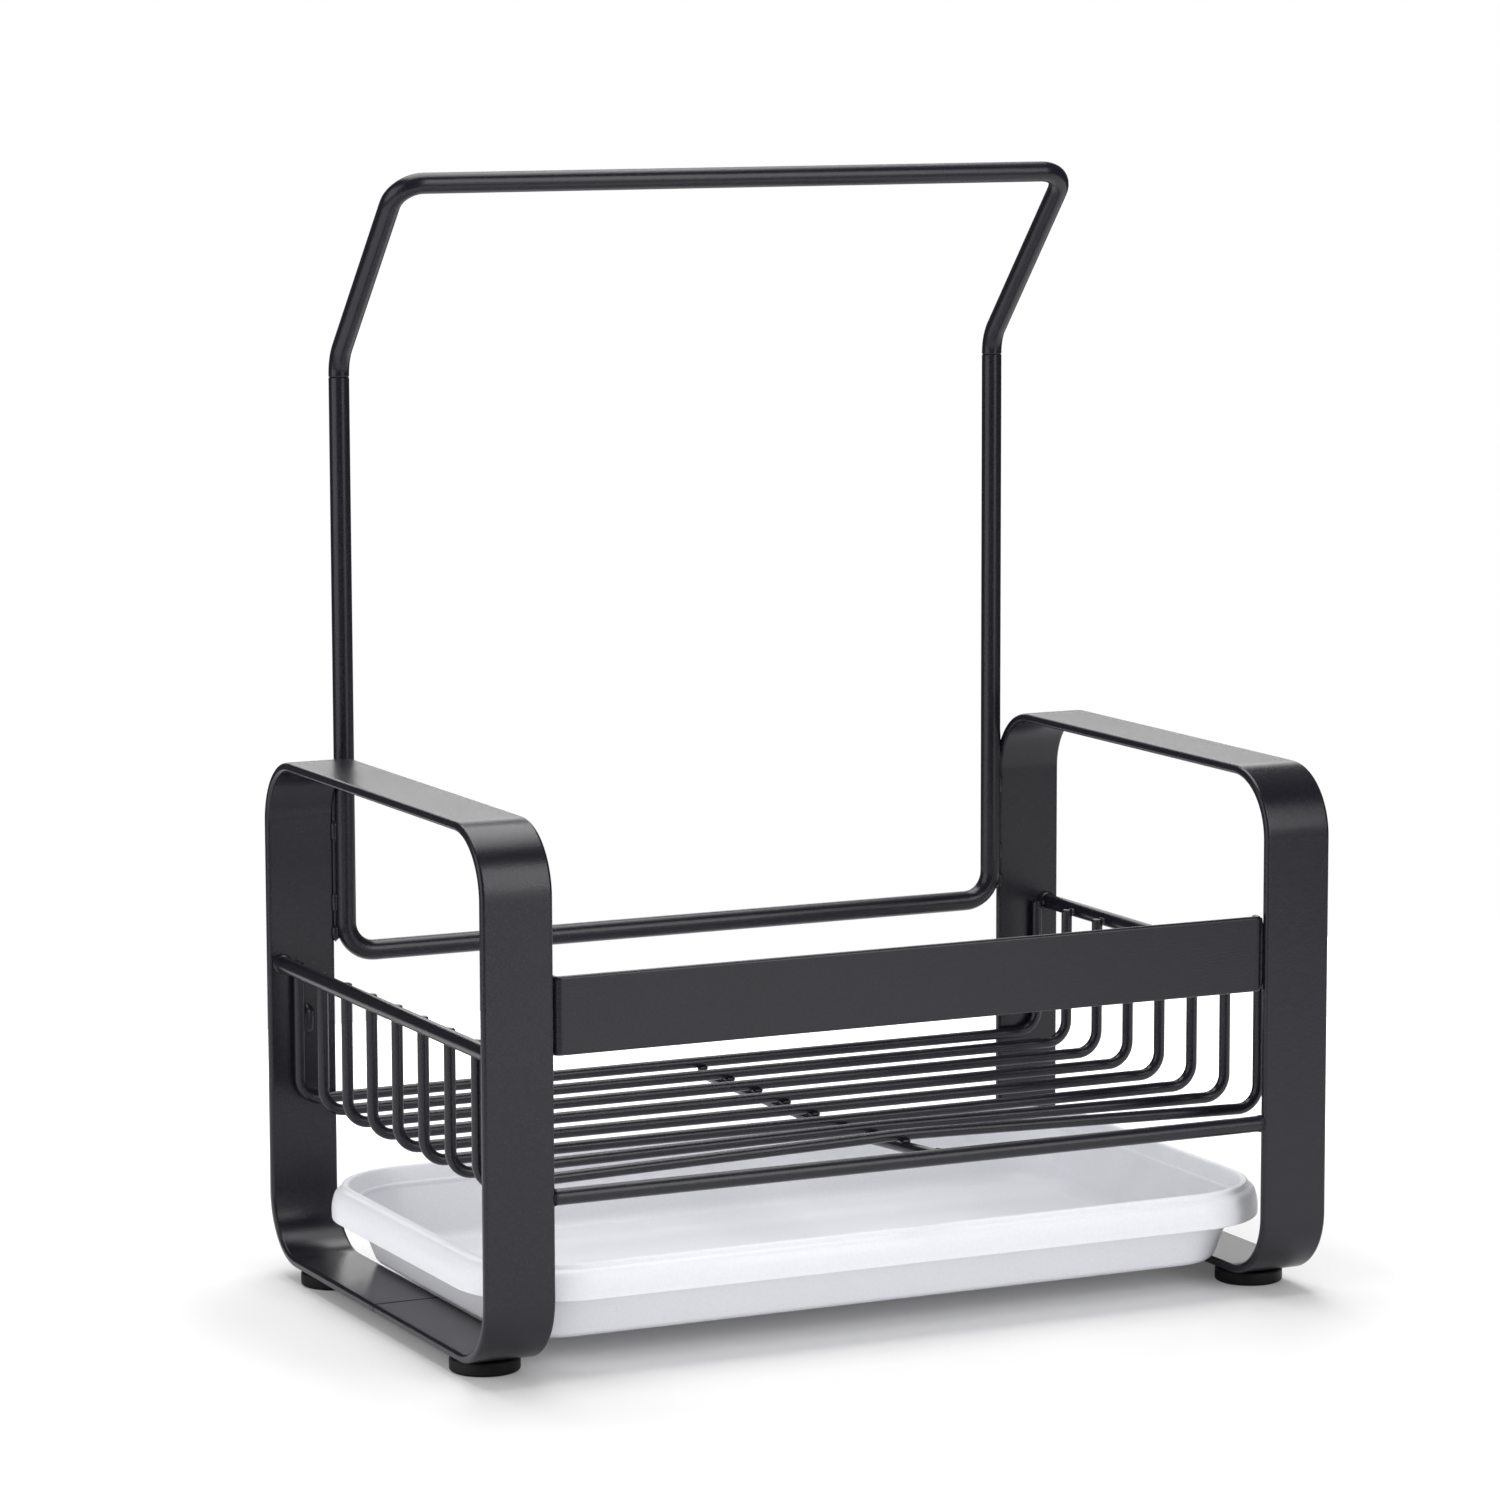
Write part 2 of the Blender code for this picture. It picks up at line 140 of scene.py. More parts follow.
def apply_modifier(piece, kind, **settings):
    """Adds a modifier with its settings and applies it."""
    only(piece)
    modifier = piece.modifiers.new(kind.title(), kind)
    for name, value in settings.items():
        setattr(modifier, name, value)
    bpy.ops.object.modifier_apply(modifier=modifier.name)


def settle(piece):
    """Writes a piece's place, turn and size into its mesh."""
    only(piece)
    bpy.ops.object.transform_apply(location=True, rotation=True, scale=True)


def close_skin():
    """Merges doubled points, fills the open ends and turns all faces outwards."""
    bpy.ops.mesh.select_all(action="SELECT")
    bpy.ops.mesh.remove_doubles(threshold=MERGE_DISTANCE)
    bpy.ops.mesh.fill_holes(sides=0)
    bpy.ops.mesh.normals_make_consistent(inside=False)


def smooth(piece):
    """Shades the round parts smooth and keeps the flat parts flat."""
    only(piece)
    bpy.ops.object.shade_smooth_by_angle(angle=SMOOTH_ANGLE)
    apply_modifier(piece, "WEIGHTED_NORMAL", keep_sharp=True)


def box_middle(node):
    """The middle of a solid."""
    low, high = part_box(node)
    return (low + high) / 2


# %% [markdown]
# ## Shared finishes
#
# A finish looks real when it isn't the same all over. Two effects come back in every
# material: a fine grain that breaks up the gloss, and soft patches where hands have left the
# surface a little smoother. Each is a node group, built once and placed in the materials with
# its own values. The groups put out masks and heights only.

# %% Helpers for nodes
# A mix node has a set of sockets for each kind of value, with the same names in each set. So
# the sockets for colours are picked by their numbers.
MIX_MASK, MIX_FIRST, MIX_SECOND, MIX_RESULT = 0, 6, 7, 2


def add_node(tree, kind, **inputs):
    """Adds a node, whose named inputs each take a value or the socket of another node."""
    made = tree.nodes.new(kind)
    for name, value in inputs.items():
        socket = made.inputs[name.replace("_", " ")]
        if isinstance(value, bpy.types.NodeSocket):
            tree.links.new(value, socket)
        else:
            socket.default_value = value
    return made


def mix_colours(tree, mask, first, second):
    """Mixes two colours by a mask and gives the socket of the result."""
    made = tree.nodes.new("ShaderNodeMix")
    made.data_type = "RGBA"
    tree.links.new(mask, made.inputs[MIX_MASK])
    made.inputs[MIX_FIRST].default_value = (*first, 1.0)
    made.inputs[MIX_SECOND].default_value = (*second, 1.0)
    return made.outputs[MIX_RESULT]


def map_values(tree, value, low, high):
    """Spreads a mask from 0 to 1 over another range and gives the socket of the result."""
    spread = add_node(tree, "ShaderNodeMapRange", Value=value, To_Min=low, To_Max=high)
    return spread.outputs["Result"]


def start_group(name, outputs):
    """A new group that takes a place and a scale, and the nodes that stand for its sockets."""
    group = bpy.data.node_groups.new(name, "ShaderNodeTree")
    group.interface.new_socket("Vector", in_out="INPUT", socket_type="NodeSocketVector")
    group.interface.new_socket("Scale", in_out="INPUT", socket_type="NodeSocketFloat")
    for label in outputs:
        group.interface.new_socket(label, in_out="OUTPUT", socket_type="NodeSocketFloat")
    return group, group.nodes.new("NodeGroupInput"), group.nodes.new("NodeGroupOutput")


# %% Build the two effects
GRAIN_SPREAD = (0.36, 0.64)
PATCH_SPREAD = (0.38, 0.66)


def add_noise(group, given, spread, **settings):
    """Noise with its settings, and a mask that spreads the middle of its range from 0 to 1."""
    noise = add_node(
        group,
        "ShaderNodeTexNoise",
        Vector=given.outputs["Vector"],
        Scale=given.outputs["Scale"],
        **settings,
    )
    height = noise.outputs[0]
    low, high = spread
    mask = add_node(group, "ShaderNodeMapRange", Value=height, From_Min=low, From_Max=high)
    return height, mask


def make_grain_group():
    """Fine grain: a height for the bump, and a mask of its light and dark specks."""
    group, given, result = start_group("fine grain", ("Height", "Specks"))
    height, specks = add_noise(group, given, GRAIN_SPREAD, Detail=3.0, Roughness=0.6)
    group.links.new(height, result.inputs["Height"])
    group.links.new(specks.outputs["Result"], result.inputs["Specks"])
    return group


def make_patch_group():
    """Soft patches, which change the gloss from place to place."""
    group, given, result = start_group("soft patches", ("Mask",))
    _, mask = add_noise(group, given, PATCH_SPREAD, Detail=2.0, Distortion=0.4)
    mask.interpolation_type = "SMOOTHSTEP"
    group.links.new(mask.outputs["Result"], result.inputs["Mask"])
    return group


grain_group = make_grain_group()
patch_group = make_patch_group()
print("node groups:", grain_group.name, "and", patch_group.name)

# %% [markdown]
# ## The four materials
#
# The strips, rods and wires share one black powder coat with a satin gloss. Powder melts
# into a skin with a faint orange peel, so its bump is fine and shallow. The hidden studs are
# blackened steel, the feet matt rubber and the tray a smooth white plastic with a cool tint.
# All four are the same recipe with other values: two colours that the specks mix, two
# roughnesses that the patches mix, and a bump from the grain. The coat itself is nearly
# black, since most of the grey that it shows is the room that it mirrors.


# %% Build the materials
def place_group(tree, group, coordinates, scale):
    """Puts one of the shared effects into a material."""
    made = tree.nodes.new("ShaderNodeGroup")
    made.node_tree = group
    tree.links.new(coordinates, made.inputs["Vector"])
    made.inputs["Scale"].default_value = scale
    return made


def make_finish(
    name, colours, roughnesses, grain_scale, grain_depth, patch_scale, mirror=0.5, metallic=0.0
):
    """A material from two colours, two roughnesses, a grain and patches."""
    material = bpy.data.materials.new(name)
    material.use_nodes = True
    tree = material.node_tree
    shader = tree.nodes["Principled BSDF"]
    shader.inputs["Metallic"].default_value = metallic
    shader.inputs["Specular IOR Level"].default_value = mirror
    coordinates = tree.nodes.new("ShaderNodeTexCoord").outputs["Object"]
    grain = place_group(tree, grain_group, coordinates, grain_scale)
    patches = place_group(tree, patch_group, coordinates, patch_scale)
    colour = mix_colours(tree, grain.outputs["Specks"], *colours)
    roughness = map_values(tree, patches.outputs["Mask"], *roughnesses)
    bump = add_node(tree, "ShaderNodeBump", Height=grain.outputs["Height"], Distance=grain_depth)
    tree.links.new(colour, shader.inputs["Base Color"])
    tree.links.new(roughness, shader.inputs["Roughness"])
    tree.links.new(bump.outputs["Normal"], shader.inputs["Normal"])
    print("finish:", name)
    return material


coat = make_finish(
    "powder coat",
    colours=((0.0066, 0.0061, 0.010), (0.012, 0.011, 0.017)),
    roughnesses=(0.25, 0.27),
    grain_scale=1900,
    grain_depth=0.00004,
    patch_scale=30,
    mirror=0.46,
)
rubber = make_finish(
    "black rubber",
    colours=((0.0015, 0.0015, 0.0018), (0.0035, 0.0035, 0.004)),
    roughnesses=(0.5, 0.7),
    grain_scale=2600,
    grain_depth=0.00008,
    patch_scale=150,
    mirror=0.3,
)
plastic = make_finish(
    "white plastic",
    colours=((0.78, 0.785, 0.83), (0.81, 0.815, 0.86)),
    roughnesses=(0.3, 0.42),
    grain_scale=1400,
    grain_depth=0.00001,
    patch_scale=25,
)
steel = make_finish(
    "blackened steel",
    colours=((0.022, 0.022, 0.024), (0.045, 0.045, 0.048)),
    roughnesses=(0.3, 0.42),
    grain_scale=3000,
    grain_depth=0.00003,
    patch_scale=300,
    metallic=0.6,
)


def hand_over(piece, material, nodes=(), body="caddy"):
    """Gives a finished piece its material and its body, and hides the solids that it stands for.
    """
    piece.data.materials.clear()
    piece.data.materials.append(material)
    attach(piece, body)
    if nodes:
        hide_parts(*nodes)
    print(f"{piece.name}: {len(piece.data.polygons)} faces, rides on {body}")


# %% [markdown]
# ## Drawing a profile along a bent path
#
# Almost every metal part of the caddy was made the same way: a straight strip or rod was
# bent over a round tool. The model is made the same way too. A ring with the shape of the
# cross-section is drawn straight with Extrude, and carried round each bend with Spin. A curve
# with a bevel would be quicker, but it has no round edges on a flat strip and no clean ends.

# %% Draw along a path
ROD_SIDES = 28
ROD_BEND_STEPS = 10
STRIP_BEND_STEPS = 18
END_ROUNDING = 0.0003
END_ROUND_STEPS = 3
SHARP_ANGLE = math.radians(60)


def draw_along(corners, radii, steps):
    """Draws the selected ring through the corners and rounds each inner one."""
    here = corners[0]
    for before, corner, after, radius in zip(corners, corners[1:], corners[2:], radii):
        arriving = (corner - before).normalized()
        leaving = (after - corner).normalized()
        turn = arriving.angle(leaving)
        tangent = radius * math.tan(turn / 2)
        start = corner - arriving * tangent
        inwards = (leaving - arriving * arriving.dot(leaving)).normalized()
        bpy.ops.mesh.extrude_region_move(TRANSFORM_OT_translate={"value": start - here})
        bpy.ops.mesh.spin(
            steps=steps,
            angle=-turn,
            center=start + inwards * radius,
            axis=arriving.cross(leaving).normalized(),
        )
        here = corner + leaving * tangent
    bpy.ops.mesh.extrude_region_move(TRANSFORM_OT_translate={"value": corners[-1] - here})


def close_ends(piece, rounding):
    """Closes both ends of a drawn piece and rounds their edges."""
    edit(piece)
    close_skin()
    leave_edit()
    apply_modifier(
        piece,
        "BEVEL",
        width=rounding,
        segments=END_ROUND_STEPS,
        limit_method="ANGLE",
        angle_limit=SHARP_ANGLE,
    )
    smooth(piece)


# %% A rod and a strip
STRIP_CORNER_SHARE = 0.4
STRIP_CORNER_STEPS = 6


def draw_rod(name, corners, radii, diameter, rounding=END_ROUNDING):
    """A round rod through the corners."""
    direction = corners[1] - corners[0]
    turn = Vector((0, 0, 1)).rotation_difference(direction).to_euler()
    bpy.ops.object.select_all(action="DESELECT")
    bpy.ops.mesh.primitive_circle_add(
        vertices=ROD_SIDES, radius=diameter / 2, location=corners[0], rotation=turn
    )
    rod = bpy.context.object
    rod.name = name
    settle(rod)
    edit_all(rod)
    draw_along(corners, radii, ROD_BEND_STEPS)
    leave_edit()
    close_ends(rod, rounding)
    return rod


def draw_strip(name, corners, radii, size_x, size_z):
    """A strip with round edges, drawn from a rectangle that lies square to Y."""
    bpy.ops.object.select_all(action="DESELECT")
    quarter_turn = (math.pi / 2, 0, 0)
    bpy.ops.mesh.primitive_plane_add(size=1, location=corners[0], rotation=quarter_turn)
    strip = bpy.context.object
    strip.name = name
    strip.scale = (size_x, size_z, 1)
    settle(strip)
    edit_all(strip)
    corner = STRIP_CORNER_SHARE * min(size_x, size_z)
    bpy.ops.mesh.bevel(offset=corner, segments=STRIP_CORNER_STEPS, affect="VERTICES")
    bpy.ops.mesh.delete(type="ONLY_FACE")
    bpy.ops.mesh.select_all(action="SELECT")
    draw_along(corners, radii, STRIP_BEND_STEPS)
    leave_edit()
    close_ends(strip, END_ROUNDING)
    return strip


# %% [markdown]
# ## The two loops
#
# Each loop is one flat strip, bent four times until its ends meet in the middle of the
# bottom side, where they are welded. A closed ring would hide that joint, so the strip is
# drawn open, and its two rounded ends leave the fine seam that the real one shows.

# %% Bend the loops
STRIP_THICKNESS = 0.0024
LOOP_BEND_RADIUS = 0.018
SEAM_GAP = 0.0004


def bend_loop(side):
    """One loop, from the seam round to the seam again."""
    node = side + "_side_frame"
    low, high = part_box(node)
    inset = STRIP_THICKNESS / 2
    x = box_middle(node).x
    front, back = low.y + inset, high.y - inset
    bottom, top = low.z + inset, high.z - inset
    corners = [
        Vector((x, SEAM_GAP / 2, bottom)),
        Vector((x, back, bottom)),
        Vector((x, back, top)),
        Vector((x, front, top)),
        Vector((x, front, bottom)),
        Vector((x, -SEAM_GAP / 2, bottom)),
    ]
    radii = [LOOP_BEND_RADIUS - inset] * 4
    loop = draw_strip(side + "_loop", corners, radii, high.x - low.x, STRIP_THICKNESS)
    hand_over(loop, coat, [node])


for side in ("left", "right"):
    bend_loop(side)

# %% [markdown]
# ## The front rail
#
# The rail is a thinner strip on edge. Its ends are turned back and lie against the legs, so
# a dark groove shows between leg and rail. Its face is left bare.

# %% Bend the rail
RAIL_THICKNESS = 0.0018
RAIL_BEND_RADIUS = 0.0022


def bend_rail():
    """The rail, from the end of one tab to the end of the other."""
    low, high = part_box("front_rail")
    inset = RAIL_THICKNESS / 2
    left, right = low.x + inset, high.x - inset
    front = low.y + inset
    z = box_middle("front_rail").z
    corners = [
        Vector((left, high.y, z)),
        Vector((left, front, z)),
        Vector((right, front, z)),
        Vector((right, high.y, z)),
    ]
    radii = [RAIL_BEND_RADIUS - inset] * 2
    rail = draw_strip("rail", corners, radii, RAIL_THICKNESS, high.z - low.z)
    hand_over(rail, coat, ["front_rail"])


bend_rail()

# %% [markdown]
# ## Rods and wires of the basket
#
# Eight wires, each bent into a wide U, hang between two rods. A third rod closes the front,
# and a cross wire ties everything together from below. The cross wire climbs to the front
# rod, and so it lifts the middle of the last wires a little. The solids keep a gap of 0.3 mm
# at each weld, so that they can be told apart. Rods that are welded to a leg are drawn a
# little longer here, up to the leg's face.

# %% Straight rods
WELD_GAP = 0.0003


def draw_straight(name, node, axis):
    """A straight rod in the place of a solid, along X (0) or Y (1), from leg to leg."""
    low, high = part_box(node)
    start, end = box_middle(node), box_middle(node)
    start[axis] = low[axis] - WELD_GAP
    end[axis] = high[axis] + WELD_GAP
    rod = draw_rod(name, [start, end], [], high.z - low.z)
    hand_over(rod, coat, [node])


draw_straight("front_rod", "front_lower_rod", 0)
draw_straight("end_rod_left", "basket_rod_left", 1)
draw_straight("end_rod_right", "basket_rod_right", 1)

# %% The cross wire
WIRE_DIAMETER = 0.003
WIRE_END_ROUNDING = 0.0006
CLIMB_RADIUS = 0.05
LEVEL_WIRES = 6


def wire_y(number):
    """How far back a wire of the basket stands."""
    return box_middle(f"basket_wire_{number}").y


def bend_cross_wire():
    """Level below the first wires, then up to the back of the front rod."""
    low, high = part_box("basket_cross_wire")
    x = box_middle("basket_cross_wire").x
    level, tip_z = low.z + WIRE_DIAMETER / 2, box_middle("front_lower_rod").z
    start, tip = wire_y(LEVEL_WIRES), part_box("front_lower_rod")[1].y
    corners = [Vector((x, high.y, level)), Vector((x, start, level)), Vector((x, tip, tip_z))]
    wire = draw_rod("cross_wire", corners, [CLIMB_RADIUS], WIRE_DIAMETER, WIRE_END_ROUNDING)
    hand_over(wire, coat, ["basket_cross_wire"])
    return x, start, tip, tip_z - level


cross_x, climb_start, climb_end, climb_height = bend_cross_wire()

# %% The eight wires
WIRE_BEND_RADIUS = 0.006
BOW_RADIUS = 0.3
WIRE_COUNT = 8


def lift_at(y):
    """How far the cross wire lifts the middle of a wire that stands at this place."""
    return climb_height * max(0, (climb_start - y) / (climb_start - climb_end))


def bend_wire(number):
    """One wire of the basket: down, across and up again."""
    node = f"basket_wire_{number}"
    low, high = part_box(node)
    radius = WIRE_DIAMETER / 2
    y = wire_y(number)
    left, right, floor = low.x + radius, high.x - radius, low.z + radius
    corners = [Vector((left, y, high.z)), Vector((left, y, floor))]
    radii = [WIRE_BEND_RADIUS]
    if number > LEVEL_WIRES:
        corners.append(Vector((cross_x, y, floor + lift_at(y))))
        radii.append(BOW_RADIUS)
    corners += [Vector((right, y, floor)), Vector((right, y, high.z))]
    radii.append(WIRE_BEND_RADIUS)
    wire = draw_rod(f"wire_{number}", corners, radii, WIRE_DIAMETER, WIRE_END_ROUNDING)
    hand_over(wire, coat, [node])


for number in range(1, WIRE_COUNT + 1):
    bend_wire(number)

# %% [markdown]
# ## The hanger
#
# The hanger is two rods of the same thickness. The lower one makes the wide U behind the
# basket. The upper one stands on its ends, leans forwards at a kink and closes the frame
# with a straight bar. A thin seam in each post shows where they meet. Both are drawn as one
# path each, since a rod that is put together from pieces shows its joints at every bend.

# %% Bend the hanger's rods
HANGER_DIAMETER = 0.0055
LOWER_BEND_RADIUS = 0.008
KINK_BEND_RADIUS = 0.011
BAR_BEND_RADIUS = 0.0075
LEAN_ANGLE = math.radians(42)
POST_SEAM = 0.00002
POST_REACH = (WELD_GAP - POST_SEAM) / 2


def bend_hanger():
    """The two rods, one above the other, which meet in the middle of the solids' gap."""
    radius = HANGER_DIAMETER / 2
    low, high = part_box("hanger_frame")
    left, right = low.x + radius, high.x - radius
    y = box_middle("hanger_frame").y
    bottom, top = low.z + radius, high.z + POST_REACH
    places = ((left, top), (left, bottom), (right, bottom), (right, top))
    corners = [Vector((x, y, z)) for x, z in places]
    lower = draw_rod("hanger_lower", corners, [LOWER_BEND_RADIUS] * 2, HANGER_DIAMETER)
    hand_over(lower, coat, ["hanger_frame"])

    low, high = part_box("towel_bar")
    bar_y, bar_z = low.y + radius, high.z - radius
    kink_z = bar_z - (y - bar_y) / math.tan(LEAN_ANGLE)
    half = ((y, low.z - POST_REACH), (y, kink_z), (bar_y, bar_z))
    corners = [Vector((left, *place)) for place in half]
    corners += [Vector((right, *place)) for place in reversed(half)]
    radii = [KINK_BEND_RADIUS, BAR_BEND_RADIUS, BAR_BEND_RADIUS, KINK_BEND_RADIUS]
    upper = draw_rod("hanger_upper", corners, radii, HANGER_DIAMETER)
    hand_over(upper, coat, ["towel_bar"])


bend_hanger()
for side in ("left", "right"):
    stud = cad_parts["hanger_stud_" + side]
    stud.data.materials.clear()
    stud.data.materials.append(steel)

# %% [markdown]
# ## The feet
#
# A foot is a round rubber pad with a shallow hollow underneath. It is round about one axis,
# so half of its outline is drawn as a line and spun once round. That gives the round edge and
# the hollow in one step, which a bevelled cylinder would not.


# %% Draw a line and spin it
START_SIZE = 0.001
SAME_PLACE = 0.00001


def draw_line(name, points):
    """An open line through the points, made by extruding a single vertex."""
    bpy.ops.object.select_all(action="DESELECT")
    bpy.ops.mesh.primitive_plane_add(size=START_SIZE, location=points[0])
    line = bpy.context.object
    line.name = name
    settle(line)
    edit_all(line)
    bpy.ops.mesh.merge(type="CENTER")
    for here, there in zip(points, points[1:]):
        bpy.ops.mesh.extrude_region_move(TRANSFORM_OT_translate={"value": there - here})
    leave_edit()
    return line


def round_corner(line, place, width, steps):
    """Rounds one corner of a line."""
    pick(line, lambda point: (point - place).length < SAME_PLACE)
    bpy.ops.mesh.bevel(offset=width, segments=steps, affect="VERTICES")
    leave_edit()


def spin_round(line, centre, axis, steps):
    """Turns a line once round an axis and closes the skin."""
    edit_all(line)
    bpy.ops.mesh.spin(steps=steps, angle=2 * math.pi, center=centre, axis=axis)
    close_skin()
    leave_edit()
    smooth(line)


# %% The four feet
FOOT_STEPS = 64
FOOT_ROUNDING = 0.0008
FOOT_ROUND_STEPS = 5
FOOT_HOLLOW_SHARE = 0.7
FOOT_HOLLOW_DEPTH = 0.0003


def mould_foot(end, side):
    """A rubber pad with a round edge and a shallow hollow underneath."""
    node = f"foot_{end}_{side}"
    low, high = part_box(node)
    centre = box_middle(node)
    radius = (high.x - low.x) / 2
    hollow = radius * FOOT_HOLLOW_SHARE
    outline = (
        (0, low.z + FOOT_HOLLOW_DEPTH),
        (hollow, low.z + FOOT_HOLLOW_DEPTH),
        (hollow + FOOT_HOLLOW_DEPTH, low.z),
        (radius, low.z),
        (radius, high.z),
        (0, high.z),
    )
    points = [Vector((centre.x + along, centre.y, z)) for along, z in outline]
    foot = draw_line("pad_" + end + "_" + side, points)
    for place in points[3:5]:
        round_corner(foot, place, FOOT_ROUNDING, FOOT_ROUND_STEPS)
    spin_round(foot, centre, (0, 0, 1), FOOT_STEPS)
    hand_over(foot, rubber, [node])


for end in ("front", "rear"):
    for side in ("left", "right"):
        mould_foot(end, side)

# %% [markdown]
# ## Welds
#
# Short beads of weld hold the metal together. A bead is drawn like a rod, only that its ring
# swells and shrinks from step to step, which leaves the ripples of a real weld. Each bead
# sinks a little into both pieces that it joins. All the beads of a step become one piece.

# %% Lay a bead
BEAD_SIDES = 16

# The width of a bead from its start to its end, as shares of its full width.
BEAD_SWELLS = (0.3, 0.62, 0.86, 0.97, 0.9, 1.0, 0.91, 1.0, 0.9, 0.97, 0.86, 0.62, 0.3)
beads = []


def lay_bead(start, end, width, depth=None):
    """A rippled bead between two points; its depth is its size along Y."""
    step = (end - start) / (len(BEAD_SWELLS) - 1)
    turn = Vector((0, 0, 1)).rotation_difference(step).to_euler()
    radius = width / 2 * BEAD_SWELLS[0]
    bpy.ops.object.select_all(action="DESELECT")
    bpy.ops.mesh.primitive_circle_add(
        vertices=BEAD_SIDES, radius=radius, location=start, rotation=turn
    )
    bead = bpy.context.object
    settle(bead)
    edit_all(bead)
    place = start.copy()
    for before, swell in zip(BEAD_SWELLS, BEAD_SWELLS[1:]):
        place += step
        share = swell / before
        bpy.ops.mesh.extrude_region_move(TRANSFORM_OT_translate={"value": step})
        bpy.ops.transform.resize(value=(share, share, share), center_override=place)
    close_skin()
    if depth:
        middle = (start + end) / 2
        bpy.ops.transform.resize(value=(1, depth / width, 1), center_override=middle)
    leave_edit()
    beads.append(bead)


def lay_centred(middle, axis, length, width):
    """A bead along X (0) or Y (1), centred on a point."""
    half = Vector((0, 0, 0))
    half[axis] = length / 2
    lay_bead(middle - half, middle + half, width)


def join_beads(name):
    """Makes one piece of the beads laid so far, which rides on the caddy."""
    bpy.ops.object.select_all(action="DESELECT")
    for bead in beads:
        bead.select_set(True)
    bpy.context.view_layer.objects.active = beads[0]
    bpy.ops.object.join()
    welds = bpy.context.object
    welds.name = name
    beads.clear()
    settle(welds)
    smooth(welds)
    hand_over(welds, coat)


# %% Welds of the basket
ROD_WELD_WIDTH, ROD_WELD_LENGTH = 0.0054, 0.0022
TOP_WELD_WIDTH, TOP_WELD_LENGTH = 0.0015, 0.0034
TOP_WELD_SHIFT = WIRE_DIAMETER / 8
CROSS_WELD_WIDTH, CROSS_WELD_LENGTH = 0.0016, 0.0030
TIP_WELD_WIDTH = 0.7 * ROD_WELD_WIDTH

# Beads that hold the first wire to the rear leg: how far inwards from the wire, the heights
# of start and end, width and depth.
LEG_WELDS = (
    (0.0025, 0.0638, 0.0724, 0.0048, 0.0050),
    (0.0012, 0.0632, 0.0680, 0.0030, 0.0050),
)

for side, sign in (("left", -1), ("right", 1)):
    rod_low, rod_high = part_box("basket_rod_" + side)
    rod = box_middle("basket_rod_" + side)
    for y in (rod_low.y, rod_high.y):
        lay_centred(Vector((rod.x, y, rod.z)), 1, ROD_WELD_LENGTH, ROD_WELD_WIDTH)
    wire_low, wire_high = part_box("basket_wire_1")
    wire_x = (wire_low.x if sign < 0 else wire_high.x) - sign * WIRE_DIAMETER / 2
    weld_x = (wire_x + rod.x) / 2 - sign * TOP_WELD_SHIFT
    for number in range(1, WIRE_COUNT + 1):
        middle = Vector((weld_x, wire_y(number), rod.z))
        lay_centred(middle, 1, TOP_WELD_LENGTH, TOP_WELD_WIDTH)
    for offset, start, end, width, depth in LEG_WELDS:
        place = Vector((wire_x - sign * offset, wire_high.y, start))
        lay_bead(place, place + Vector((0, 0, end - start)), width, depth)
join_beads("basket_welds")

cross_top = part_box("basket_cross_wire")[0].z + WIRE_DIAMETER
for number in range(1, WIRE_COUNT + 1):
    y = wire_y(number)
    middle = Vector((cross_x, y, cross_top + lift_at(y)))
    lay_centred(middle, 0, CROSS_WELD_LENGTH, CROSS_WELD_WIDTH)
tip = Vector((cross_x, climb_end, box_middle("front_lower_rod").z))
lay_centred(tip, 1, ROD_WELD_LENGTH, TIP_WELD_WIDTH)
join_beads("cross_wire_welds")

# %% Welds of the rail, the front rod and the hanger
RAIL_WELD_WIDTH = 0.0016

# Start and end of the beads at each end of the rail, as shares of its height. The left one
# is in two parts, with a small gap that light shines through.
RAIL_WELD_SPANS = {-1: ((0.03, 0.70), (0.83, 0.97)), 1: ((0.03, 0.97),)}
FRONT_WELD_WIDTH = 0.0046

# Beads between a post and the rear leg: the heights of start and end, and the width.
POST_WELDS = (
    (0.0885, 0.1370, 0.0013),
    (0.0888, 0.0930, 0.0024),
    (0.0960, 0.1020, 0.0022),
    (0.1155, 0.1215, 0.0022),
)

leg_low, leg_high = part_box("right_side_frame")
rail_low, rail_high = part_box("front_rail")
rail_y, post_y = leg_low.y + STRIP_THICKNESS, leg_high.y - STRIP_THICKNESS
rod = box_middle("front_lower_rod")
for sign in (-1, 1):
    x = sign * (leg_low.x - WELD_GAP / 2)
    for span in RAIL_WELD_SPANS[sign]:
        heights = [rail_low.z + share * (rail_high.z - rail_low.z) for share in span]
        lay_bead(*(Vector((x, rail_y, z)) for z in heights), RAIL_WELD_WIDTH)
    lay_centred(Vector((x, rod.y, rod.z)), 0, ROD_WELD_LENGTH, FRONT_WELD_WIDTH)
    for start, end, width in POST_WELDS:
        lay_bead(Vector((x, post_y, start)), Vector((x, post_y, end)), width)
join_beads("frame_welds")

# %% [markdown]
# ## The drip tray
#
# The tray is moulded from one sheet of plastic with a wide rolled rim. Its wall has the same
# cross-section all the way round, so that is drawn once as a line and carried along the
# outline: four straight sides and four round corners. The floor and the base then close it.

# %% Draw the wall's cross-section
TRAY_CORNER_RADIUS = 0.027
TRAY_CORNER_STEPS = 24

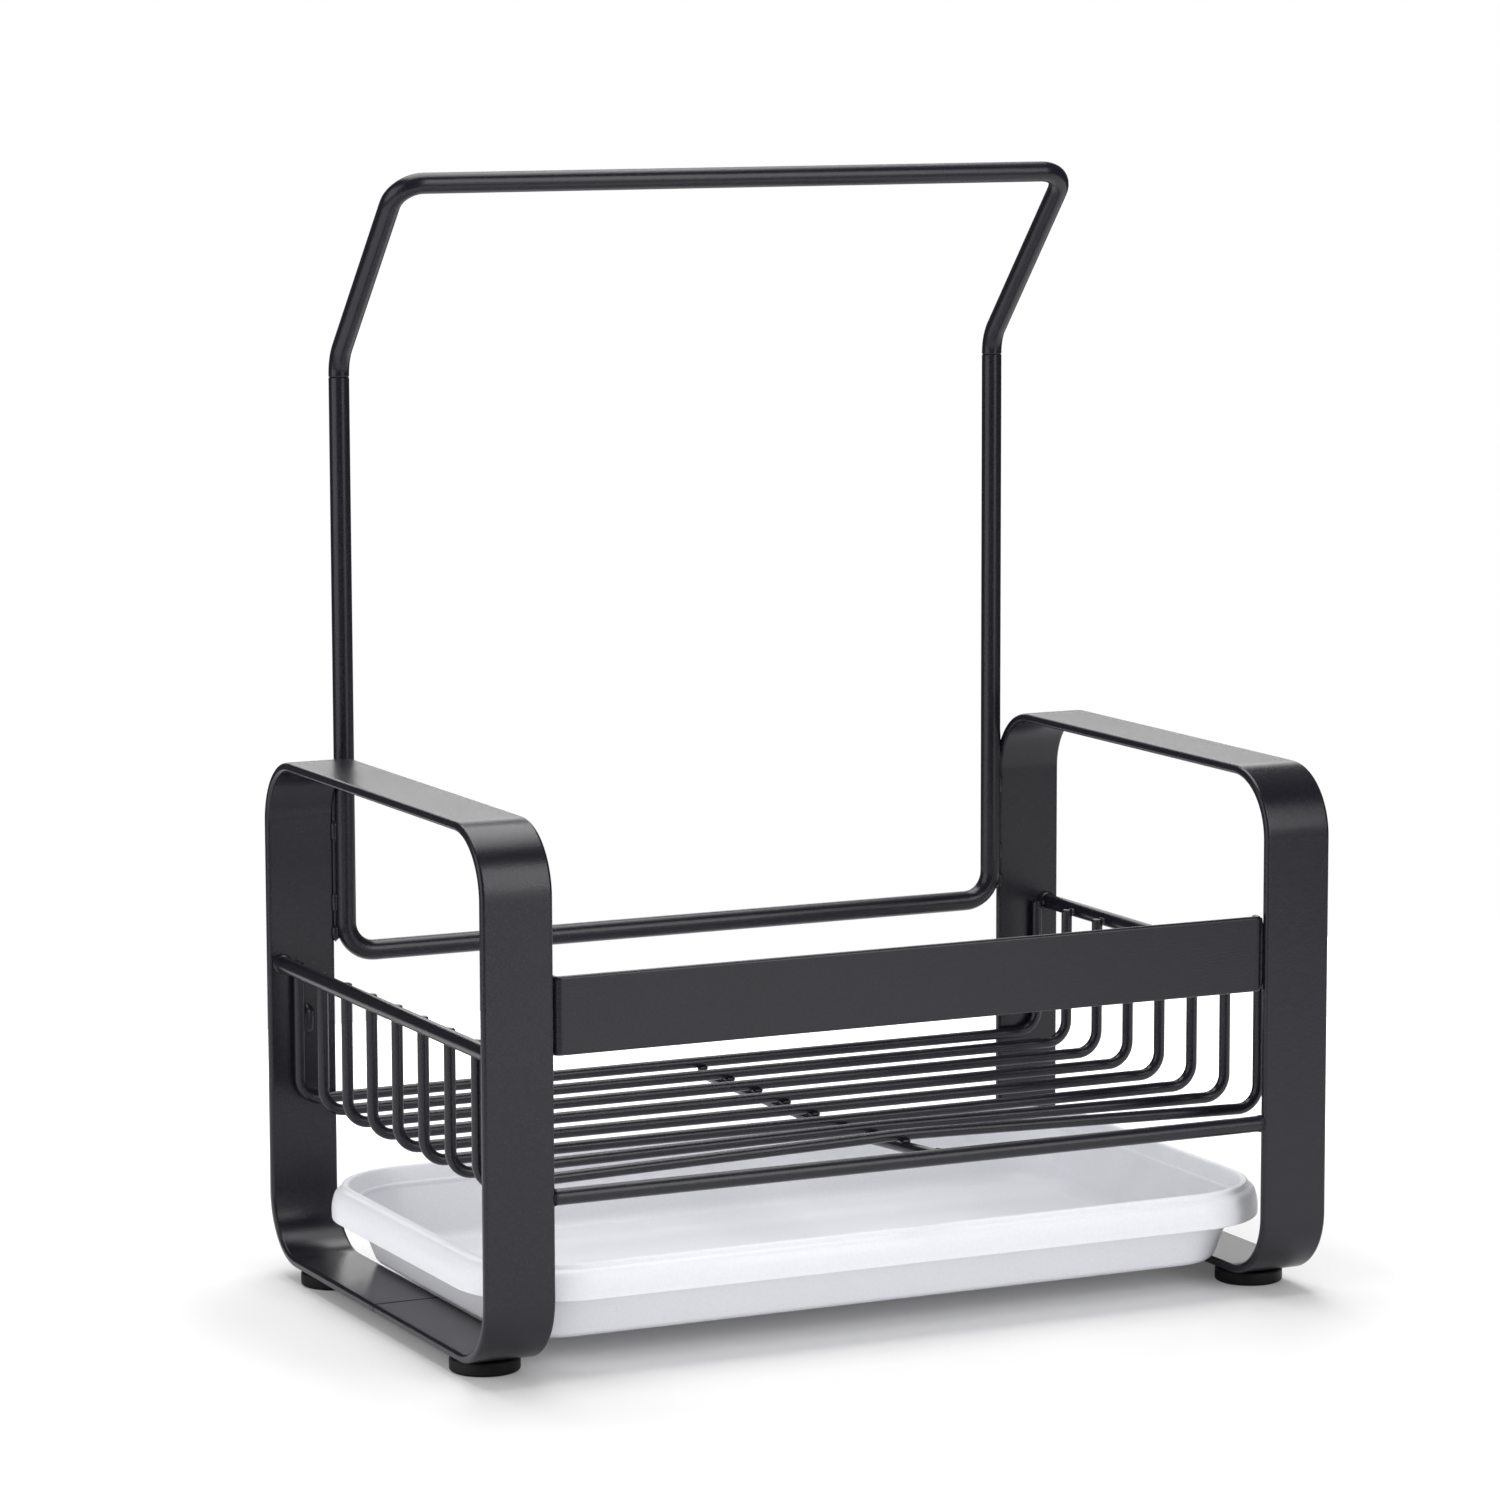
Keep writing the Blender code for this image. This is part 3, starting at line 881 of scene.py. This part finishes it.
# Each point: how far inwards, how high, and how much its corner is rounded.
TRAY_SECTION = (
    (0.0136, 0.0000, 0.0000),
    (0.0118, 0.0006, 0.0012),
    (0.0073, 0.0123, 0.0000),
    (0.0073, 0.0175, 0.0009),
    (0.0024, 0.0175, 0.0009),
    (0.0017, 0.0123, 0.0003),
    (0.0001, 0.0123, 0.0003),
    (0.0000, 0.0160, 0.0016),
    (0.0010, 0.0193, 0.0010),
    (0.0027, 0.0200, 0.0004),
    (0.0028, 0.0213, 0.0005),
    (0.0046, 0.0213, 0.0006),
    (0.0092, 0.0123, 0.0020),
    (0.0141, 0.0030, 0.0020),
    (0.0170, 0.0020, 0.0000),
)
SECTION_ROUND_STEPS = 5


def mould_tray():
    """The tray, which lies on the two bottom strips and slides out sideways."""
    low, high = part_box("drip_tray")
    points = [Vector((0, low.y + inset, low.z + height)) for inset, height, _ in TRAY_SECTION]
    tray = draw_line("tray", points)
    for place, (_, _, rounding) in zip(points, TRAY_SECTION):
        if rounding:
            round_corner(tray, place, rounding, SECTION_ROUND_STEPS)
    corners = [
        Vector((0, low.y, 0)),
        Vector((high.x, low.y, 0)),
        Vector((high.x, high.y, 0)),
        Vector((low.x, high.y, 0)),
        Vector((low.x, low.y, 0)),
        Vector((0, low.y, 0)),
    ]
    edit_all(tray)
    draw_along(corners, [TRAY_CORNER_RADIUS] * 4, TRAY_CORNER_STEPS)
    close_skin()
    leave_edit()
    smooth(tray)
    hand_over(tray, plastic, ["drip_tray"], body="tray")


mould_tray()

# %% [markdown]
# ## Studio
#
# The caddy stands on a sheet of pale paper in a white room. Black satin shows little of its
# own colour and a lot of what it mirrors. So the panels are large, and they stand apart with
# dim room between them, which draws light and dark bands along the rods and dark lines along
# the edges of the strips. The sheet is small for the same reason: the sides of the loops
# mirror the dim room behind it. The camera sees sheet and room in the same white, so the end
# of the sheet doesn't show.

# %% Lay the sheet
FLOOR_SIZE = (1.3, 0.9)
FLOOR_PLACE = (0.1, -0.05, 0)


def build_floor():
    """A flat sheet below the caddy."""
    bpy.ops.object.select_all(action="DESELECT")
    bpy.ops.mesh.primitive_plane_add(size=1, location=FLOOR_PLACE)
    floor = bpy.context.object
    floor.name = "studio_floor"
    floor.scale = (*FLOOR_SIZE, 1)
    settle(floor)
    floor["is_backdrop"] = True
    return floor


# %% Paint the sheet
FLOOR_COLOUR = (0.8, 0.8, 0.8, 1.0)
NEAR_LIFT, FAR_LIFT = 0.07, 0.75
LIFT_START, LIFT_END = 0.14, 0.35


def paint_floor(floor):
    """A pale surface that keeps the shadow near the caddy and is white further away.

    Only the camera sees the lift towards white, so it sheds no light. From below the sheet
    is clear, so that the underside of the caddy can be looked at too.
    """
    material = bpy.data.materials.new("studio paper")
    material.use_nodes = True
    tree = material.node_tree
    tree.nodes.clear()
    place = tree.nodes.new("ShaderNodeTexCoord").outputs["Object"]
    distance = add_node(tree, "ShaderNodeVectorMath", Vector=place)
    distance.operation = "LENGTH"
    lift = add_node(
        tree,
        "ShaderNodeMapRange",
        Value=distance.outputs["Value"],
        From_Min=LIFT_START,
        From_Max=LIFT_END,
        To_Min=NEAR_LIFT,
        To_Max=FAR_LIFT,
    )
    lift.interpolation_type = "SMOOTHSTEP"
    path = tree.nodes.new("ShaderNodeLightPath")
    glow_strength = add_node(tree, "ShaderNodeMath", Value=path.outputs["Is Camera Ray"])
    glow_strength.operation = "MULTIPLY"
    tree.links.new(lift.outputs[0], glow_strength.inputs[1])
    paper = add_node(tree, "ShaderNodeBsdfDiffuse", Color=FLOOR_COLOUR)
    glow = add_node(tree, "ShaderNodeEmission", Strength=glow_strength.outputs[0])
    upper = tree.nodes.new("ShaderNodeAddShader")
    tree.links.new(paper.outputs[0], upper.inputs[0])
    tree.links.new(glow.outputs[0], upper.inputs[1])
    below = tree.nodes.new("ShaderNodeNewGeometry").outputs["Backfacing"]
    clear = tree.nodes.new("ShaderNodeBsdfTransparent")
    sheet = tree.nodes.new("ShaderNodeMixShader")
    for socket, source in zip(sheet.inputs, (below, upper.outputs[0], clear.outputs[0])):
        tree.links.new(source, socket)
    output = tree.nodes.new("ShaderNodeOutputMaterial")
    tree.links.new(sheet.outputs[0], output.inputs["Surface"])
    floor.data.materials.append(material)


paint_floor(build_floor())

# %% [markdown]
# ## Panels and room
#
# The light could come from the room alone, but then black metal looks flat. So area lamps
# stand in for the soft panels of a studio. The top panel hangs a little behind the caddy, so
# the soft shadow falls to the front. The rear panel is mirrored in the tops of the loops, and
# the brow, high in front, draws the glow below each bend. A fill close to the floor lifts the
# tray's skirt. It is kept out of reflections, since it would draw a hard line along every rod.

# %% Lights and room
ROOM_STRENGTH, MIRRORED_ROOM = 0.39, 0.07

# Each panel: its name, place, width and height, and power in watts.
PANELS = (
    ("panel_top", (0.08, 0.3, 1.25), (0.9, 1.3), 14.8),
    ("panel_left", (-1.3, -0.1, 0.45), (1.3, 1.2), 7.4),
    ("panel_front", (0.4, -1.15, 0.12), (0.5, 0.5), 1.1),
    ("panel_brow", (0.47, -1.1, 0.68), (0.55, 0.8), 4.7),
    ("panel_rear", (1.1, 2.75, 1.13), (2.2, 1.2), 15.5),
    ("panel_fill", (-0.9, -1.2, 0.1), (1.2, 0.4), 6.0),
)
UNMIRRORED = "panel_fill"
LIGHT_TARGET = Vector((0, 0, 0.12))


def hang_panel(name, place, size, power):
    """A soft panel that looks at the caddy."""
    bpy.ops.object.select_all(action="DESELECT")
    bpy.ops.object.light_add(type="AREA", location=place)
    panel = bpy.context.object
    panel.name = name
    panel.data.shape = "RECTANGLE"
    panel.data.size, panel.data.size_y = size
    panel.data.energy = power
    panel.rotation_mode = "QUATERNION"
    panel.rotation_quaternion = (LIGHT_TARGET - Vector(place)).to_track_quat("-Z", "Y")
    panel.visible_glossy = name != UNMIRRORED


def light_room():
    """A grey room, which the camera sees as white and the coat mirrors as dim."""
    world = bpy.data.worlds.new("studio room")
    world.use_nodes = True
    bpy.context.scene.world = world
    tree = world.node_tree
    background = tree.nodes["Background"]
    background.inputs["Color"].default_value = (1, 1, 1, 1)
    path = tree.nodes.new("ShaderNodeLightPath")
    dim = map_values(tree, path.outputs["Is Glossy Ray"], ROOM_STRENGTH, MIRRORED_ROOM)
    strength = add_node(tree, "ShaderNodeMath", Value=dim)
    strength.operation = "MAXIMUM"
    tree.links.new(path.outputs["Is Camera Ray"], strength.inputs[1])
    tree.links.new(strength.outputs[0], background.inputs["Strength"])


for panel in PANELS:
    hang_panel(*panel)
light_room()
bpy.context.scene.view_settings.view_transform = "Standard"

# %% [markdown]
# ## Measure and finish
#
# Both boxes, of the solids and of the dressed caddy, are printed so that they can be compared.

# %% Write the sizes
dressed_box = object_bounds()
for label, (low, high) in (("solids", solid_box), ("dressed", dressed_box)):
    print(label, "size in mm:", [round(length * 1000, 2) for length in high - low])
